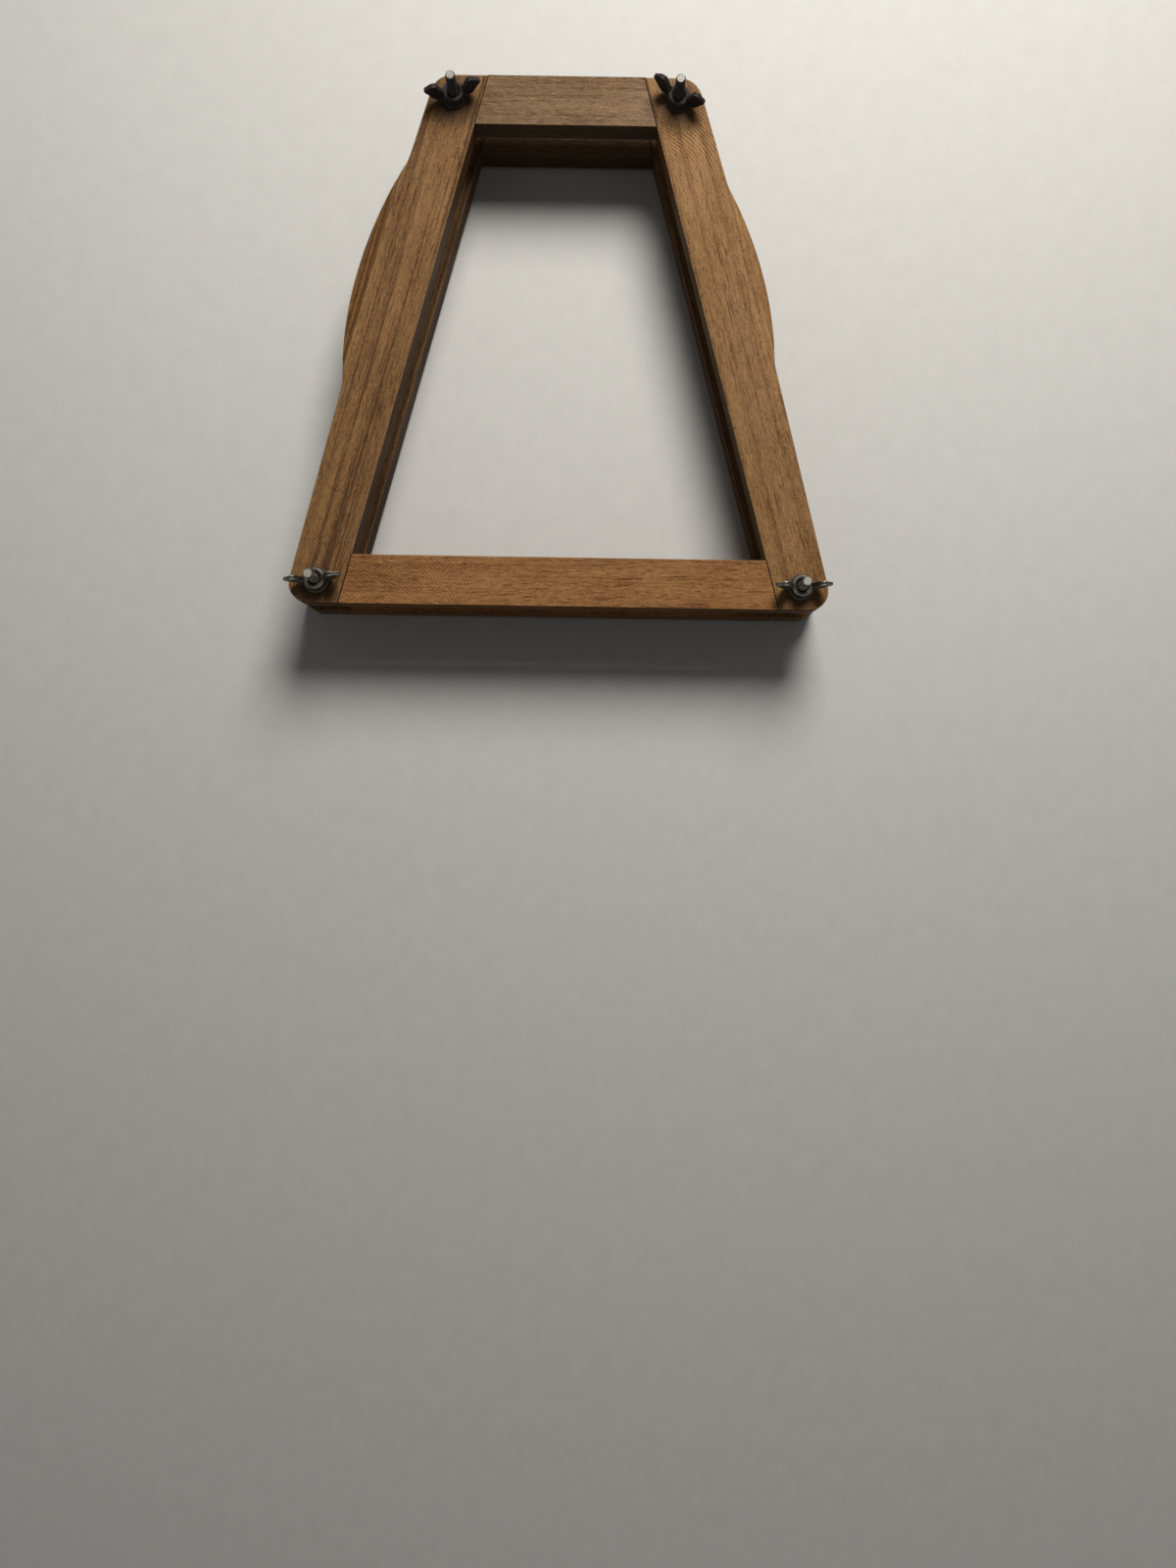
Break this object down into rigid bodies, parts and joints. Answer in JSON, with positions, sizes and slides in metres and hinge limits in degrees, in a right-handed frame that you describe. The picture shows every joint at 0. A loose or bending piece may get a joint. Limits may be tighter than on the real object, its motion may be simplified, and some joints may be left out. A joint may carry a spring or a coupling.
{
  "type": "racket press",
  "caption": "Wooden racket press: trapezoid frames on long bolts, drawn together with wing nuts to keep a racket head flat.",
  "frame": {"origin": "middle of the plan, level with the tops of the domed bolt heads the press lies on", "axes": "+X across the press to the right as seen from its front, +Y towards the narrow end, +Z out of the front face along the bolts"},
  "size_m": [0.2818, 0.276, 0.0654],
  "materials": {
    "stile_wood": "thin worn varnish on open-pored hardwood",
    "rail_wood": "thin worn varnish on open-pored hardwood",
    "dowel_wood": "bare turned beech",
    "dark_iron": "blackened, dull and slightly rusty",
    "dull_nickel": "dull nickel plate, worn bright on the rims"
  },
  "bodies": {
    "back_frame": {"back_left_stile": "stile_wood", "back_right_stile": "stile_wood", "back_top_rail": "rail_wood", "back_bottom_rail": "rail_wood", "back_top_left_dowels": "dowel_wood", "back_top_right_dowels": "dowel_wood", "back_bottom_left_dowels": "dowel_wood", "back_bottom_right_dowels": "dowel_wood", "bolt_top_left": "dark_iron", "bolt_top_right": "dark_iron", "bolt_bottom_left": "dull_nickel", "bolt_bottom_right": "dull_nickel"},
    "front_frame": {"front_left_stile": "stile_wood", "front_right_stile": "stile_wood", "front_top_rail": "rail_wood", "front_bottom_rail": "rail_wood", "front_top_left_dowels": "dowel_wood", "front_top_right_dowels": "dowel_wood", "front_bottom_left_dowels": "dowel_wood", "front_bottom_right_dowels": "dowel_wood"},
    "top_left_washer": {"washer_top_left": "dark_iron"},
    "top_left_nut": {"wing_nut_top_left": "dark_iron"},
    "top_right_washer": {"washer_top_right": "dark_iron"},
    "top_right_nut": {"wing_nut_top_right": "dark_iron"},
    "bottom_left_washer": {"washer_bottom_left": "dull_nickel"},
    "bottom_left_nut": {"wing_nut_bottom_left": "dull_nickel"},
    "bottom_right_washer": {"washer_bottom_right": "dull_nickel"},
    "bottom_right_nut": {"wing_nut_bottom_right": "dull_nickel"}
  },
  "joints": [
    {"name": "front_frame_slide", "type": "slide", "parent": "back_frame", "child": "front_frame", "axis": [0, 0, 1], "range_m": [-0.0167, 0]},
    {"name": "top_left_nut_rise", "type": "slide", "parent": "back_frame", "child": "top_left_washer", "axis": [0, 0, 1], "range_m": [0, 0.0136]},
    {"name": "top_left_nut_turn", "type": "hinge", "parent": "top_left_washer", "child": "top_left_nut", "pos_m": [-0.05829, 0.1263, 0.04735], "axis": [0, 0, 1], "range_deg": [0, 6120]},
    {"name": "top_right_nut_rise", "type": "slide", "parent": "back_frame", "child": "top_right_washer", "axis": [0, 0, 1], "range_m": [0, 0.0136]},
    {"name": "top_right_nut_turn", "type": "hinge", "parent": "top_right_washer", "child": "top_right_nut", "pos_m": [0.05829, 0.1263, 0.04735], "axis": [0, 0, 1], "range_deg": [0, 6120]},
    {"name": "bottom_left_nut_rise", "type": "slide", "parent": "back_frame", "child": "bottom_left_washer", "axis": [0, 0, 1], "range_m": [0, 0.0136]},
    {"name": "bottom_left_nut_turn", "type": "hinge", "parent": "bottom_left_washer", "child": "bottom_left_nut", "pos_m": [-0.12618, -0.1262, 0.04735], "axis": [0, 0, 1], "range_deg": [0, 6120]},
    {"name": "bottom_right_nut_rise", "type": "slide", "parent": "back_frame", "child": "bottom_right_washer", "axis": [0, 0, 1], "range_m": [0, 0.0136]},
    {"name": "bottom_right_nut_turn", "type": "hinge", "parent": "bottom_right_washer", "child": "bottom_right_nut", "pos_m": [0.12618, -0.1262, 0.04735], "axis": [0, 0, 1], "range_deg": [0, 6120]}
  ],
  "couplings": [
    {"joint": "top_left_nut_rise", "follows": "top_left_nut_turn", "m_per_rad": 0.00012732},
    {"joint": "top_right_nut_rise", "follows": "top_right_nut_turn", "m_per_rad": 0.00012732},
    {"joint": "bottom_left_nut_rise", "follows": "bottom_left_nut_turn", "m_per_rad": 0.00012732},
    {"joint": "bottom_right_nut_rise", "follows": "bottom_right_nut_turn", "m_per_rad": 0.00012732}
  ]
}
